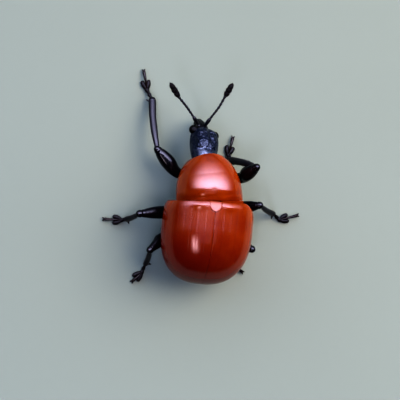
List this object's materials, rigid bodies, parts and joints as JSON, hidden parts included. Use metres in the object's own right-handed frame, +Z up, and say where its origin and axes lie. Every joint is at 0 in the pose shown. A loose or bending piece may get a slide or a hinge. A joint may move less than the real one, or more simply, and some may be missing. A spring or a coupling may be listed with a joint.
{
  "type": "leaf-rolling weevil beetle, Homoeolabus analis, still life-size model",
  "caption": "Still model of a red weevil with blue-black head, black legs and clubbed feelers, standing with one front leg stretched ahead and the other folded beside the head.",
  "frame": {"origin": "middle of the whole footprint, feet and feelers included, on the floor", "axes": "+Z up, -Y the way the head points, +X to the beetle's left"},
  "size_m": [0.0082, 0.0088, 0.003],
  "materials": {
    "red_shell": "smooth, glossy orange-red shell",
    "blue_black_shell": "finely pitted blue-black shell with a soft gloss",
    "black_shell": "glossy black shell",
    "black_eye": "shiny black faceted eye",
    "brown_club": "dull brown-black, finely downy"
  },
  "bodies": {
    "root": {"pronotum": "red_shell", "scutellum": "red_shell", "wing_case_left": "red_shell", "wing_case_right": "red_shell", "abdomen": "red_shell", "tail_plate": "red_shell", "thorax_underside": "blue_black_shell", "head": "blue_black_shell", "snout": "black_shell", "jaw_left": "black_shell", "jaw_right": "black_shell", "eye_left": "black_eye", "eye_right": "black_eye", "feeler_left": "black_shell", "feeler_right": "black_shell", "club_left": "brown_club", "club_right": "brown_club", "hip_front_left": "black_shell", "hip_front_right": "black_shell", "hip_mid_left": "black_shell", "hip_mid_right": "black_shell", "hip_hind_left": "black_shell", "hip_hind_right": "black_shell", "thigh_front_left": "black_shell", "thigh_front_right": "black_shell", "thigh_mid_left": "black_shell", "thigh_mid_right": "black_shell", "thigh_hind_left": "black_shell", "thigh_hind_right": "black_shell", "shin_front_left": "black_shell", "shin_front_right": "black_shell", "shin_mid_left": "black_shell", "shin_mid_right": "black_shell", "shin_hind_left": "black_shell", "shin_hind_right": "black_shell", "foot_front_left": "black_shell", "foot_front_right": "black_shell", "foot_mid_left": "black_shell", "foot_mid_right": "black_shell", "foot_hind_left": "black_shell", "foot_hind_right": "black_shell"}
  },
  "joints": []
}
